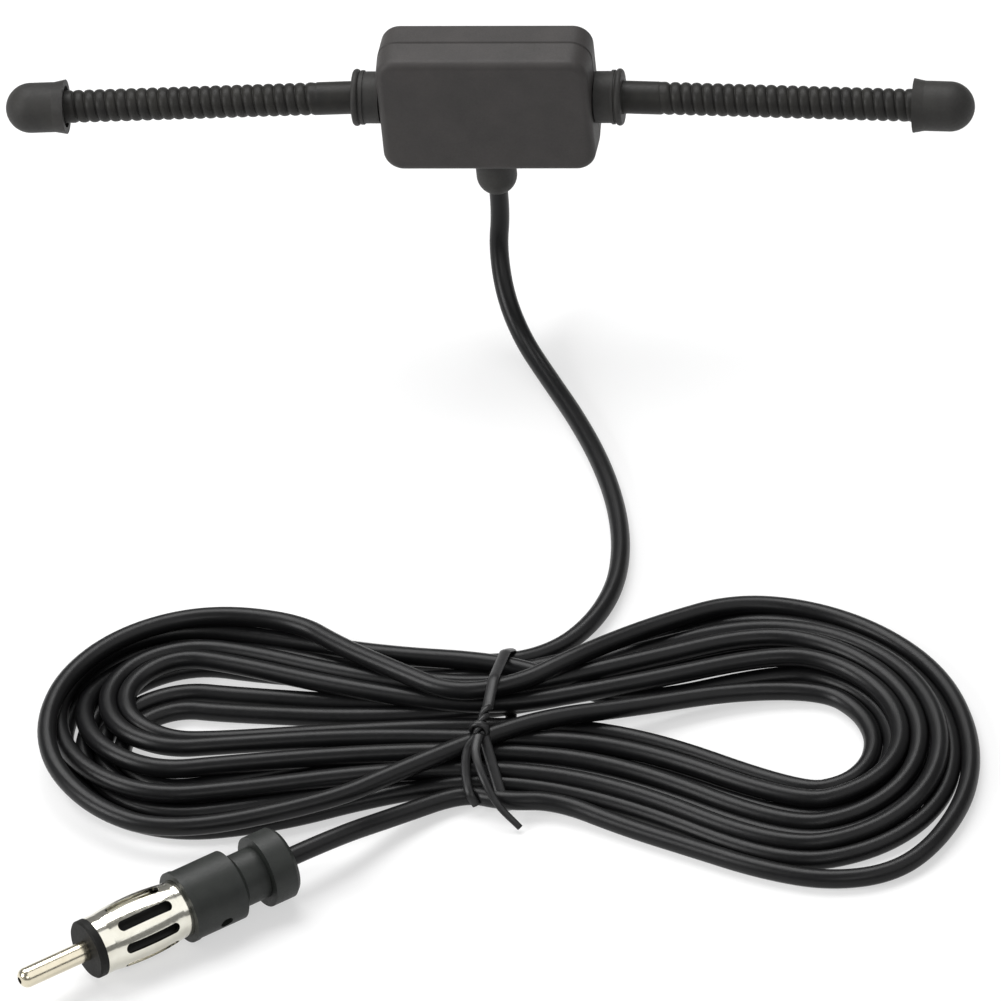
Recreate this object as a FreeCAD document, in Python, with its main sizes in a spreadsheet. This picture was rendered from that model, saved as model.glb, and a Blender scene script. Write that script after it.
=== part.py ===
"""Car windshield radio antenna: a small two-part housing that sticks to the glass, two flexible arms,
and a coax cable tied in a hank that ends in an aerial plug.

Frame, in millimetres: the origin is the centre of the adhesive pad's outer face, +Y points at the
glass, +Z up, and the arms lie along X. The cable lies on a level surface below the housing."""
import FreeCAD
import Part
import Sketcher

import math
import os
from types import SimpleNamespace

Vector = FreeCAD.Vector
Rotation = FreeCAD.Rotation
Placement = FreeCAD.Placement

SIZES = {
    # Housing: two half shells that part where the arms' axis lies
    "housing_width": 34.0,
    "housing_height": 21.7,
    "half_depth": 5.4,
    "wall": 1.3,
    "corner_radius": 3.4,
    "face_radius": 1.3,
    "draft_angle": 3.0,
    "seam_bevel": 0.25,
    "tongue_height": 0.9,
    "tongue_width": 0.55,
    "pad_thickness": 1.0,
    "pad_margin": 2.6,
    # Circuit board on four pegs
    "board_side_gap": 2.95,
    "board_end_gap": 0.25,
    "board_thickness": 1.0,
    "board_corner": 0.75,
    "peg_side_margin": 2.7,
    "peg_end_margin": 1.8,
    "peg_radius": 0.8,
    "peg_length": 2.0,
    "post_radius": 1.5,
    "coil_radius": 2.9,
    "coil_height": 2.8,
    "coil_flange": 0.6,
    "coil_neck_radius": 1.3,
    "coil_winding_radius": 2.6,
    "chip_length": 2.0,
    "chip_width": 1.25,
    "chip_height": 0.6,
    "chip_spread": 3.85,
    "solder_radius": 0.75,
    # Arms
    "arm_droop": 2.2,
    "sleeve_radius": 2.6,
    "rib_depth": 0.26,
    "rib_pitch": 1.68,
    "rib_count": 24,
    "sleeve_plain": 5.4,
    "sleeve_socket": 2.0,
    "sleeve_in_cap": 4.6,
    "sleeve_bore": 1.9,
    "winding_wall": 0.5,
    "core_tail": 1.3,
    "lead_radius": 0.35,
    # Rubber collars where the arms leave the housing
    "collar_flange_radius": 4.0,
    "collar_flange": 1.2,
    "collar_waist_radius": 3.4,
    "collar_neck_radius": 4.1,
    "collar_neck": 2.6,
    "collar_lip_radius": 4.3,
    "collar_lip": 0.45,
    "collar_groove": 0.25,
    "collar_bead_radius": 4.5,
    "collar_bead": 1.0,
    "collar_bead_crown": 0.3,
    "collar_bore": 1.7,
    # Domed arm caps with a flared, open rim
    "cap_length": 9.6,
    "cap_radius": 3.95,
    "cap_rim_radius": 4.3,
    "cap_rim": 1.8,
    "cap_mouth_radius": 3.3,
    "cap_mouth": 1.5,
    # Cable and its bush under the housing
    "cable_radius": 1.5,
    "conductor_radius": 0.35,
    "conductor_in_pin": 4.0,
    "bush_flange_radius": 3.7,
    "bush_flange": 1.2,
    "bush_waist_radius": 2.6,
    "bush_radius": 3.2,
    "bush_length": 7.0,
    "bush_nose_radius": 1.95,
    "cable_stub": 0.7,
    # Surface that the cable lies on, below the housing's centre
    "surface_drop": 42.0,
    # Hank of cable, pinched at the tie
    "hank_height": 8.0,
    "hank_bevel": 2.0,
    "waist_round": 8.0,
    "waist_x": 8.8,
    "waist_y": -112.75,
    "waist_half": 17.0,
    "right_lobe_x": 48.0,
    "right_lobe_y": -116.5,
    "right_lobe_radius": 37.4,
    "right_eye_radius": 11.0,
    "right_eye_x": 54.0,
    "right_eye_y": -118.2,
    "left_lobe_x": -32.6,
    "left_lobe_y": -114.6,
    "left_lobe_radius": 28.8,
    "left_eye_radius": 4.0,
    "left_eye_x": -41.5,
    "left_eye_y": -112.0,
    # Twist tie
    "tie_width": 1.7,
    "tie_thickness": 0.9,
    "tie_pinch": 0.3,
    "tie_corner": 3.0,
    "tie_wire_radius": 0.75,
    # Aerial plug, measured forward from the rear of its cap
    "plug_x": -19.4,
    "plug_y": -151.8,
    "plug_heading": 218.1,
    "plug_cap_length": 4.6,
    "plug_cap_radius": 5.8,
    "plug_cap_bevel": 0.7,
    "plug_cap_nose_radius": 5.2,
    "plug_spigot": 3.9,
    "plug_neck": 4.0,
    "plug_neck_radius": 4.25,
    "plug_shoulder": 1.0,
    "plug_body": 9.2,
    "plug_body_radius": 5.65,
    "plug_rim": 0.8,
    "plug_rim_radius": 5.8,
    "plug_body_bore": 2.65,
    "window_length": 2.6,
    "window_width": 2.0,
    "window_set_back": 5.3,
    "window_turn": -24.0,
    "barrel_length": 15.5,
    "barrel_seat": 4.8,
    "barrel_sheet": 0.5,
    "barrel_rear_radius": 4.6,
    "barrel_front_radius": 4.7,
    "barrel_rear_collar": 1.3,
    "barrel_front_collar": 1.8,
    "barrel_bulge_radius": 41.0,
    "slot_count": 8,
    "slot_length": 10.0,
    "slot_width": 1.7,
    "slot_turn": 9.5,
    "ferrule_length": 5.0,
    "ferrule_flange": 1.0,
    "disc_thickness": 1.4,
    "disc_radius": 4.75,
    "disc_bevel": 0.28,
    "hub_depth": 2.2,
    "insulator_tube": 11.0,
    "insulator_tube_radius": 3.4,
    "pin_radius": 1.6,
    "pin_length": 12.0,
    "pin_bore": 0.8,
    "pin_tail": 17.0,
    "pin_tail_radius": 1.4,
    "pin_nose": 1.2,
    "pin_nose_radius": 1.32,
    "pin_mouth_radius": 0.55,
    # Clearances
    "fit_gap": 0.05,
    "slide_gap": 0.12,
}

# Free stretches of the cable (X, Y, Z). The lead hangs from the bush and curls over to the hank.
LEAD_POINTS = [
    (0.0, -6.4, -17.85),
    (0.0, -6.4, -22.8),
    (-0.8, -8.0, -28.6),
    (0.3, -12.6, -34.6),
    (3.4, -18.6, -38.6),
    (8.0, -26.0, -40.25),
    (13.8, -36.5, -40.5),
    (18.8, -47.6, -40.5),
    (22.4, -58.6, -40.5),
    (24.3, -69.0, -40.5),
    (24.3, -79.0, -40.5),
    (21.6, -88.0, -40.5),
    (16.4, -95.0, -40.5),
]
# The tail leaves the hank beside the tie and rises to the plug, whose axis stands above the surface.
TAIL_POINTS = [
    (6.0, -129.6, -40.5),
    (-3.8, -137.0, -39.4),
    (-11.924, -145.938, -36.2),
    (-19.4, -151.8, -36.2),
]
# The tie's twisted end, from the front upper edge of its band.
TIE_END_POINTS = [
    (0.0, 5.0, -0.015),
    (0.0, -0.6, 0.45),
    (2.0, -3.6, -4.4),
    (6.6, -7.2, -7.85),
]
# A bend takes this share of the shorter of its two runs.
RUN_SHARE = 0.45
# The round ends of a slot stay just short of a half circle.
SLOT_END_EASE = 1.04


class Size:
    """A length with its number and the expression of sheet cells that gives it."""

    def __init__(self, text, value):
        self.text = text
        self.value = value

    def join(self, mark, other, value):
        return Size(f"({self.text} {mark} {other.text})", value)

    def __add__(self, other):
        other = as_size(other)
        return self.join("+", other, self.value + other.value)

    def __sub__(self, other):
        other = as_size(other)
        return self.join("-", other, self.value - other.value)

    def __mul__(self, other):
        other = as_size(other)
        return self.join("*", other, self.value * other.value)

    def __truediv__(self, other):
        other = as_size(other)
        return self.join("/", other, self.value / other.value)

    def __neg__(self):
        return as_size(0) - self


def as_size(number):
    return number if isinstance(number, Size) else Size(f"{number:.6f}", float(number))


def root(size):
    return Size(f"sqrt({size.text})", math.sqrt(size.value))


doc = FreeCAD.newDocument("windshield_antenna")
sheet = doc.addObject("Spreadsheet::Sheet", "sizes")
for row, (alias, number) in enumerate(SIZES.items(), start=1):
    sheet.set(f"A{row}", alias)
    sheet.set(f"B{row}", str(number))
    sheet.setAlias(f"B{row}", alias)
doc.recompute()
s = SimpleNamespace(**{alias: Size(f"sizes.{alias}", float(sheet.get(alias))) for alias in SIZES})

nodes = []
middle_y = -(s.pad_thickness + s.half_depth)
surface_z = -s.surface_drop


def new_body(label):
    body = doc.addObject("PartDesign::Body", label)
    body.Label = label
    return body


def keep(node):
    """Count an object as a finished sub-part."""
    nodes.append(node)
    return node


def place(item, x=0, y=0, z=0, axis=Vector(0, 0, 1), turn=0):
    """Place an item, with each value bound to the sheet."""
    item.Placement = Placement(Vector(0, 0, 0), Rotation(axis, 1))
    for path, size in (("Base.x", x), ("Base.y", y), ("Base.z", z), ("Rotation.Angle", turn)):
        item.setExpression(f"Placement.{path}", as_size(size).text)


def new_sketch(body, name, plane, lift=0, turn=0):
    """A sketch on one of the body's own planes, lifted along its normal or turned about its x axis."""
    sketch = body.newObject("Sketcher::SketchObject", name)
    support = next(item for item in body.Origin.OriginFeatures if item.Role == plane)
    sketch.AttachmentSupport = [(support, "")]
    sketch.MapMode = "FlatFace"
    sketch.AttachmentOffset = Placement(Vector(0, 0, 0), Rotation(Vector(1, 0, 0), 1))
    sketch.setExpression("AttachmentOffset.Base.z", as_size(lift).text)
    sketch.setExpression("AttachmentOffset.Rotation.Angle", as_size(turn).text)
    return sketch


def drive(sketch, kind, geometry, size):
    """Add one sizing constraint and bind it to the sheet."""
    size = as_size(size)
    name = f"{kind}_{sketch.ConstraintCount}"
    index = sketch.addConstraint(Sketcher.Constraint(kind, *geometry, size.value))
    sketch.renameConstraint(index, name)
    sketch.setExpression(f"Constraints.{name}", size.text)


def fix_point(sketch, geometry, vertex, x, y):
    drive(sketch, "DistanceX", (-1, 1, geometry, vertex), x)
    drive(sketch, "DistanceY", (-1, 1, geometry, vertex), y)


def arc_centre(start, end, radius):
    """Centre of the arc from start to end: left of the way for a positive radius, else right."""
    chord = end - start
    middle = (start + end) * 0.5
    side = Vector(-chord.y, chord.x, 0).normalize()
    reach = math.sqrt(max(radius * radius - chord.Length ** 2 / 4, 0))
    return middle + side * math.copysign(reach, radius)


def outline(sketch, corners):
    """Draw a closed outline. A corner is (x, y), or (x, y, radius) where an arc goes on to the next:
    a positive radius turns left."""
    points = [Vector(as_size(c[0]).value, as_size(c[1]).value, 0) for c in corners]
    ends = []
    for index, corner in enumerate(corners):
        start = points[index]
        end = points[(index + 1) % len(points)]
        if len(corner) == 2:
            edge = sketch.addGeometry(Part.LineSegment(start, end))
            ends.append((edge, 1, 2))
            continue
        radius = as_size(corner[2])
        centre = arc_centre(start, end, radius.value)
        first = math.atan2(start.y - centre.y, start.x - centre.x)
        last = math.atan2(end.y - centre.y, end.x - centre.x)
        circle = Part.Circle(centre, Vector(0, 0, 1), abs(radius.value))
        left = radius.value > 0
        begin, finish = (first, last) if left else (last, first)
        if finish < begin:
            finish += 2 * math.pi
        edge = sketch.addGeometry(Part.ArcOfCircle(circle, begin, finish))
        ends.append((edge, 1, 2) if left else (edge, 2, 1))
        drive(sketch, "Radius", (edge,), radius if left else -radius)
    for index, (edge, begin, finish) in enumerate(ends):
        after, after_begin, _ = ends[(index + 1) % len(ends)]
        sketch.addConstraint(Sketcher.Constraint("Coincident", edge, finish, after, after_begin))
        fix_point(sketch, edge, begin, corners[index][0], corners[index][1])


def ring(sketch, radius, x=0, y=0):
    centre = Vector(as_size(x).value, as_size(y).value, 0)
    edge = sketch.addGeometry(Part.Circle(centre, Vector(0, 0, 1), as_size(radius).value))
    fix_point(sketch, edge, 3, x, y)
    drive(sketch, "Radius", (edge,), radius)


def rounded_rectangle(sketch, width, height, radius):
    right = width / 2
    top = height / 2
    outline(sketch, [
        (radius - right, -top), (right - radius, -top, radius),
        (right, radius - top), (right, top - radius, radius),
        (right - radius, top), (radius - right, top, radius),
        (-right, top - radius), (-right, radius - top, radius),
    ])


def pad(body, sketch, length, reverse=False, taper=None, both_ways=False):
    feature = body.newObject("PartDesign::Pad", "Pad")
    feature.Profile = sketch
    feature.setExpression("Length", as_size(length).text)
    feature.Reversed = reverse
    if both_ways:
        feature.SideType = "Symmetric"
    if taper is not None:
        feature.setExpression("TaperAngle", taper.text)
    doc.recompute()
    return feature


def pocket(body, sketch, length=None, reverse=False, both_ways=False):
    """Cut a sketch into a body, to a depth, or right through when no depth is given."""
    feature = body.newObject("PartDesign::Pocket", "Pocket")
    feature.Profile = sketch
    feature.Reversed = reverse
    if both_ways:
        feature.SideType = "Symmetric"
    if length is None:
        feature.Type = "ThroughAll"
    else:
        feature.setExpression("Length", as_size(length).text)
    doc.recompute()
    return feature


def edges_where(feature, test):
    return [f"Edge{i}" for i, edge in enumerate(feature.Shape.Edges, start=1) if test(edge)]


def soften(body, kind, feature, edges, size):
    """Round ("Fillet") or bevel ("Chamfer") some edges of a feature."""
    edge_feature = body.newObject(f"PartDesign::{kind}", kind)
    edge_feature.Base = (feature, edges)
    edge_feature.setExpression("Radius" if kind == "Fillet" else "Size", size.text)
    doc.recompute()
    return edge_feature


def turned(label, corners):
    """A body turned about its own X axis from an outline of (along, radius) corners."""
    body = new_body(label)
    sketch = new_sketch(body, "section", "XY_Plane")
    outline(sketch, corners)
    turn = body.newObject("PartDesign::Revolution", "Revolution")
    turn.Profile = sketch
    turn.ReferenceAxis = (sketch, ["H_Axis"])
    turn.Angle = 360
    doc.recompute()
    return body


# The board fills the room that the arms' collars and the end of the cable leave.
board_width = s.housing_width - (s.wall + s.fit_gap + s.collar_flange + s.board_side_gap) * 2
board_height = s.housing_height - (s.wall + s.fit_gap + s.bush_flange + s.cable_stub + s.board_end_gap) * 2


def peg_places():
    for across in (-1, 1):
        for up in (-1, 1):
            yield (board_width / 2 - s.peg_side_margin) * across, (board_height / 2 - s.peg_end_margin) * up


def round_bosses(body, name, radius, lift, length):
    """A round boss at each peg's place, from a height before the parting plane towards the rear."""
    sketch = new_sketch(body, name, "XZ_Plane", lift=lift)
    for x, z in peg_places():
        ring(sketch, radius, x, z)
    return pad(body, sketch, length, reverse=True)


# The lead wires lie on the board's front face, in the plane where the shells part.
board_front = s.lead_radius + s.fit_gap
board_back = board_front + s.board_thickness
floor_depth = s.half_depth - s.wall
# Where the arms' leads and the cable's inner conductor end on the board
arm_lead_x = board_width / 2 - s.solder_radius * 2
conductor_z = s.solder_radius * 2 - board_height / 2


def half_shell(label, rear):
    """One half of the housing. Depth is measured from the parting plane."""
    body = new_body(label)
    shape = new_sketch(body, "outside", "XZ_Plane")
    rounded_rectangle(shape, s.housing_width, s.housing_height, s.corner_radius)
    block = pad(body, shape, s.half_depth, reverse=rear, taper=-s.draft_angle)
    depth = s.half_depth.value

    def on_face(edge):
        return all(abs(abs(v.Point.y) - depth) < 1e-4 for v in edge.Vertexes)

    def on_seam(edge):
        return all(abs(v.Point.y) < 1e-4 for v in edge.Vertexes)

    rounded = soften(body, "Fillet", block, edges_where(block, on_face), s.face_radius)
    soften(body, "Chamfer", rounded, edges_where(rounded, on_seam), s.seam_bevel)

    inside = new_sketch(body, "inside", "XZ_Plane")
    rounded_rectangle(inside, s.housing_width - s.wall * 2, s.housing_height - s.wall * 2,
                      s.corner_radius - s.wall)
    pocket(body, inside, floor_depth, reverse=not rear)
    return body


def cut_collar_holes(body):
    """Half-round holes for the arms' collars and the cable bush, centred on the parting plane."""
    across = new_sketch(body, "arm_holes", "YZ_Plane")
    ring(across, s.collar_waist_radius + s.fit_gap)
    pocket(body, across, s.housing_width + s.collar_neck, both_ways=True)
    down = new_sketch(body, "cable_hole", "XY_Plane")
    ring(down, s.bush_waist_radius + s.fit_gap)
    pocket(body, down)


def make_front_shell():
    body = half_shell("front_shell", rear=False)
    recess = new_sketch(body, "tongue_recess", "XZ_Plane")
    inset = (s.wall - s.tongue_width - s.slide_gap) * 2
    rounded_rectangle(recess, s.housing_width - inset, s.housing_height - inset, s.corner_radius - inset / 2)
    pocket(body, recess, s.tongue_height + s.slide_gap, reverse=True)
    cut_collar_holes(body)
    # Posts hold the board down on the other half's pegs, and grip the pegs' ends.
    posts = new_sketch(body, "posts", "XZ_Plane", lift=s.fit_gap - board_front)
    for x, z in peg_places():
        ring(posts, s.post_radius, x, z)
        ring(posts, s.peg_radius + s.fit_gap, x, z)
    pad(body, posts, board_front + floor_depth)
    place(body, y=middle_y)
    return keep(body)


def make_rear_shell():
    body = half_shell("rear_shell", rear=True)
    tongue = new_sketch(body, "tongue", "XZ_Plane")
    outer = (s.wall - s.tongue_width) * 2
    rounded_rectangle(tongue, s.housing_width - outer, s.housing_height - outer, s.corner_radius - outer / 2)
    rounded_rectangle(tongue, s.housing_width - s.wall * 2, s.housing_height - s.wall * 2,
                      s.corner_radius - s.wall)
    pad(body, tongue, s.tongue_height)
    cut_collar_holes(body)
    # Posts with a step: the board sits on the step, and the thinner peg goes through it.
    round_bosses(body, "posts", s.post_radius, -board_back - s.fit_gap, floor_depth - board_back)
    peg_reach = s.peg_length + s.board_thickness + s.post_radius
    round_bosses(body, "pegs", s.peg_radius, s.peg_length - board_front, peg_reach)
    place(body, y=middle_y)
    return keep(body)


def make_adhesive_pad():
    body = new_body("adhesive_pad")
    sketch = new_sketch(body, "outside", "XZ_Plane")
    rounded_rectangle(sketch, s.housing_width - s.pad_margin * 2, s.housing_height - s.pad_margin * 2,
                      s.corner_radius)
    pad(body, sketch, s.pad_thickness)
    return keep(body)


def make_board():
    body = new_body("circuit_board")
    sketch = new_sketch(body, "outside", "XZ_Plane")
    rounded_rectangle(sketch, board_width, board_height, s.board_corner)
    pad(body, sketch, s.board_thickness, reverse=True)
    holes = new_sketch(body, "peg_holes", "XZ_Plane")
    for x, z in peg_places():
        ring(holes, s.peg_radius + s.fit_gap, x, z)
    pocket(body, holes)
    place(body, y=middle_y + board_front)
    return keep(body)


def make_coil():
    """Matching coil: a ferrite drum that stands on the board, and its winding as one ring."""
    back = -s.fit_gap
    front = back - s.coil_height
    core = turned("coil_core", [
        (front, 0), (front, s.coil_radius), (front + s.coil_flange, s.coil_radius),
        (front + s.coil_flange, s.coil_neck_radius), (back - s.coil_flange, s.coil_neck_radius),
        (back - s.coil_flange, s.coil_radius), (back, s.coil_radius), (back, 0),
    ])
    rear = back - s.coil_flange - s.fit_gap
    fore = front + s.coil_flange + s.fit_gap
    winding = turned("coil_winding", [
        (fore, s.coil_neck_radius + s.fit_gap), (fore, s.coil_winding_radius),
        (rear, s.coil_winding_radius), (rear, s.coil_neck_radius + s.fit_gap),
    ])
    for body in (core, winding):
        place(body, y=middle_y + board_front, turn=90)
        keep(body)


def group(label, items):
    compound = doc.addObject("Part::Compound", label)
    compound.Links = items
    compound.Label = label
    return keep(compound)


def make_chips():
    """Chip capacitors and resistors beside the coil, flat on the board."""
    chips = []
    for across, up in ((-1, 1), (1, 1), (-1, -1), (1, -1)):
        chip = doc.addObject("Part::Box", "chip")
        chip.setExpression("Length", s.chip_length.text)
        chip.setExpression("Width", s.chip_height.text)
        chip.setExpression("Height", s.chip_width.text)
        place(chip,
              x=(s.coil_radius + s.chip_length) * across - s.chip_length / 2,
              y=middle_y + board_front - s.fit_gap - s.chip_height,
              z=s.chip_spread / 2 * up - s.chip_width / 2)
        chips.append(chip)
    group("chip_parts", chips)


def make_solder(wires):
    """Solder domes on the board, over the ends of the wires that meet it at (x, z)."""
    domes = []
    for wire, x, z in wires:
        ball = doc.addObject("Part::Sphere", "solder_ball")
        ball.setExpression("Radius", s.solder_radius.text)
        ball.Angle1 = 0
        place(ball, x=x, y=middle_y + board_front - s.fit_gap / 2, z=z, axis=Vector(1, 0, 0), turn=90)
        dome = doc.addObject("Part::Cut", "solder_dome")
        dome.Base = ball
        dome.Tool = wire
        domes.append(dome)
    group("solder_joints", domes)


def crown_radius(width, rise):
    """Radius of an arc that rises by this much over this width."""
    return (width * width / 4 + rise * rise) / (rise * 2)


def make_arm(side, name):
    """One arm: collar, sleeve over a winding on a flexible core, end cap and lead wire. Lengths run
    outward from the housing's wall, along X, and side is -1 on the left."""
    def along(length):
        return as_size(length) * side

    wall_in = -s.wall - s.fit_gap
    lip_end = s.collar_neck + s.collar_lip
    bead_start = lip_end + s.collar_groove
    mouth = bead_start + s.collar_bead
    seat = mouth - s.sleeve_socket
    bead_edge = s.collar_bead_radius - s.collar_bead_crown
    bead_round = crown_radius(s.collar_bead, s.collar_bead_crown)
    collar = turned(f"{name}_arm_grommet", [
        (along(wall_in - s.collar_flange), s.collar_bore),
        (along(wall_in - s.collar_flange), s.collar_flange_radius),
        (along(wall_in), s.collar_flange_radius),
        (along(wall_in), s.collar_waist_radius),
        (along(s.fit_gap), s.collar_waist_radius),
        (along(s.fit_gap), s.collar_neck_radius),
        (along(s.collar_neck), s.collar_neck_radius),
        (along(s.collar_neck), s.collar_lip_radius),
        (along(lip_end), s.collar_lip_radius),
        (along(lip_end), s.collar_neck_radius),
        (along(bead_start), s.collar_neck_radius),
        (along(bead_start), bead_edge, bead_round * -side),
        (along(mouth), bead_edge),
        (along(mouth), s.sleeve_radius + s.slide_gap),
        (along(seat), s.sleeve_radius + s.slide_gap),
        (along(seat), s.collar_bore),
    ])
    place(collar, x=s.housing_width / 2 * side, y=middle_y)
    keep(collar)

    # The sleeve and what it holds lean down a little, about the collar's mouth.
    start = s.slide_gap * 2 - s.sleeve_socket
    ribs_start = s.sleeve_plain
    ribs_end = ribs_start + s.rib_pitch * s.rib_count
    sleeve_end = ribs_end + s.sleeve_in_cap
    section = [(along(start), s.sleeve_bore), (along(start), s.sleeve_radius),
               (along(ribs_start), s.sleeve_radius)]
    for rib in range(int(s.rib_count.value)):
        section.append((along(ribs_start + s.rib_pitch * (rib + 0.5)), s.sleeve_radius - s.rib_depth))
        section.append((along(ribs_start + s.rib_pitch * (rib + 1)), s.sleeve_radius))
    section += [(along(sleeve_end), s.sleeve_radius), (along(sleeve_end), s.sleeve_bore)]
    sleeve = turned(f"{name}_arm_sleeve", section)

    winding_out = s.sleeve_bore - s.fit_gap
    winding = turned(f"{name}_arm_winding", [
        (along(start), winding_out - s.winding_wall), (along(start), winding_out),
        (along(sleeve_end), winding_out), (along(sleeve_end), winding_out - s.winding_wall),
    ])
    core_start = start - s.core_tail
    core_radius = winding_out - s.winding_wall - s.fit_gap
    core = turned(f"{name}_arm_core", [
        (along(core_start), 0), (along(core_start), core_radius),
        (along(sleeve_end), core_radius), (along(sleeve_end), 0),
    ])
    rim = ribs_end + s.fit_gap
    dome_start = rim + s.cap_length - s.cap_radius
    cap = turned(f"{name}_arm_cap", [
        (along(rim), s.cap_mouth_radius), (along(rim), s.cap_rim_radius),
        (along(rim + s.cap_rim), s.cap_radius), (along(dome_start), s.cap_radius, s.cap_radius * -side),
        (along(rim + s.cap_length), 0), (along(sleeve_end + s.fit_gap), 0),
        (along(sleeve_end + s.fit_gap), s.sleeve_radius + s.fit_gap),
        (along(rim + s.cap_mouth), s.sleeve_radius + s.fit_gap),
        (along(rim + s.cap_mouth), s.cap_mouth_radius),
    ])
    for body in (sleeve, winding, core, cap):
        place(body, x=(s.housing_width / 2 + mouth) * side, y=middle_y,
              axis=Vector(0, 1, 0), turn=s.arm_droop * side)
        keep(body)

    lead_out = s.housing_width / 2 + mouth + core_start - s.fit_gap
    lead = turned(f"{name}_arm_lead", [
        (along(arm_lead_x), 0), (along(arm_lead_x), s.lead_radius),
        (along(lead_out), s.lead_radius), (along(lead_out), 0),
    ])
    place(lead, y=middle_y)
    return keep(lead)


def make_cable_entry():
    """Bush under the housing, the cable's end in it, and its inner conductor. Lengths run down from the
    housing's lower wall."""
    wall_in = -s.wall - s.fit_gap
    top = wall_in - s.bush_flange
    bore = s.cable_radius + s.fit_gap
    dome_start = s.bush_length - root(s.bush_radius * s.bush_radius - s.bush_nose_radius * s.bush_nose_radius)
    bush = turned("cable_grommet", [
        (top, bore), (top, s.bush_flange_radius), (wall_in, s.bush_flange_radius),
        (wall_in, s.bush_waist_radius), (s.fit_gap, s.bush_waist_radius), (s.fit_gap, s.bush_radius),
        (dome_start, s.bush_radius, -s.bush_radius), (s.bush_length, s.bush_nose_radius),
        (s.bush_length, bore),
    ])
    cable_top = top - s.cable_stub
    cable = turned("cable_box_end", [
        (cable_top, 0), (cable_top, s.cable_radius), (s.bush_length, s.cable_radius), (s.bush_length, 0),
    ])
    conductor_top = -(conductor_z + s.housing_height / 2)
    conductor = turned("cable_conductor", [
        (conductor_top, 0), (conductor_top, s.conductor_radius),
        (cable_top - s.fit_gap, s.conductor_radius), (cable_top - s.fit_gap, 0),
    ])
    for body in (bush, cable, conductor):
        place(body, y=middle_y, z=-s.housing_height / 2, axis=Vector(0, 1, 0), turn=90)
        keep(body)
    return conductor


def rounded_path(points):
    """Straight runs joined by tangent arcs, each as large as its two runs allow."""
    points = [Vector(*point) for point in points]
    edges = []
    radii = []
    last = points[0]
    for before, corner, after in zip(points, points[1:], points[2:]):
        way_in = (corner - before).normalize()
        way_out = (after - corner).normalize()
        turn = way_in.getAngle(way_out)
        cut = RUN_SHARE * min((corner - before).Length, (after - corner).Length)
        start = corner - way_in * cut
        end = corner + way_out * cut
        radii.append(cut / math.tan(turn / 2))
        inward = (way_out - way_in).normalize()
        middle = corner + inward * (radii[-1] / math.cos(turn / 2) - radii[-1])
        edges.append(Part.LineSegment(last, start).toShape())
        edges.append(Part.Arc(start, middle, end).toShape())
        last = end
    edges.append(Part.LineSegment(last, points[-1]).toShape())
    return Part.Wire(edges), radii


def make_tube(label, points, radius):
    """A round tube along a rounded path."""
    path, radii = rounded_path(points)
    first = Vector(*points[0])
    ring_wire = Part.Wire(Part.makeCircle(radius.value, first, Vector(*points[1]) - first))
    tube = doc.addObject("Part::Feature", label)
    tube.Label = label
    tube.Shape = path.makePipeShell([ring_wire], True, False)
    tube.Placement = Placement()
    ratio = tube.Shape.Volume / (math.pi * radius.value ** 2 * path.Length)
    print(label, "length", round(path.Length, 1), "volume ratio", round(ratio, 4),
          "radii", [round(radius, 1) for radius in radii])
    return tube


def tangent_point(point, centre, radius, side):
    """Where a line from a point touches a circle, on one side of it."""
    to_point = point - centre
    angle = math.atan2(to_point.y, to_point.x) + side * math.acos(radius / to_point.Length)
    return centre + Vector(math.cos(angle), math.sin(angle), 0) * radius


def hank_outline(sketch):
    """Two round lobes joined by straight stretches to a waist, as a tied hank of cable spreads out."""
    x = s.waist_x.value
    top = Vector(x, s.waist_y.value + s.waist_half.value, 0)
    bottom = Vector(x, s.waist_y.value - s.waist_half.value, 0)
    lobes = (
        (s.right_lobe_x, s.right_lobe_y, s.right_lobe_radius, bottom, top),
        (s.left_lobe_x, s.left_lobe_y, s.left_lobe_radius, top, bottom),
    )
    lines = []
    for lobe_x, lobe_y, lobe_radius, arrive, leave in lobes:
        centre = Vector(lobe_x.value, lobe_y.value, 0)
        first = tangent_point(arrive, centre, lobe_radius.value, 1)
        last = tangent_point(leave, centre, lobe_radius.value, -1)
        way_first = first - centre
        way_last = last - centre
        circle = Part.Circle(centre, Vector(0, 0, 1), lobe_radius.value)
        arc = sketch.addGeometry(Part.ArcOfCircle(circle, math.atan2(way_first.y, way_first.x),
                                                  math.atan2(way_last.y, way_last.x)))
        line_in = sketch.addGeometry(Part.LineSegment(arrive, first))
        line_out = sketch.addGeometry(Part.LineSegment(last, leave))
        sketch.addConstraint(Sketcher.Constraint("Tangent", line_in, 2, arc, 1))
        sketch.addConstraint(Sketcher.Constraint("Tangent", arc, 2, line_out, 1))
        fix_point(sketch, arc, 3, lobe_x, lobe_y)
        drive(sketch, "Radius", (arc,), lobe_radius)
        lines.append((line_in, line_out))
    (right_in, right_out), (left_in, left_out) = lines
    sketch.addConstraint(Sketcher.Constraint("Coincident", right_out, 2, left_in, 1))
    sketch.addConstraint(Sketcher.Constraint("Coincident", left_out, 2, right_in, 1))
    fix_point(sketch, right_out, 2, s.waist_x, s.waist_y + s.waist_half)
    fix_point(sketch, left_out, 2, s.waist_x, s.waist_y - s.waist_half)


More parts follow.
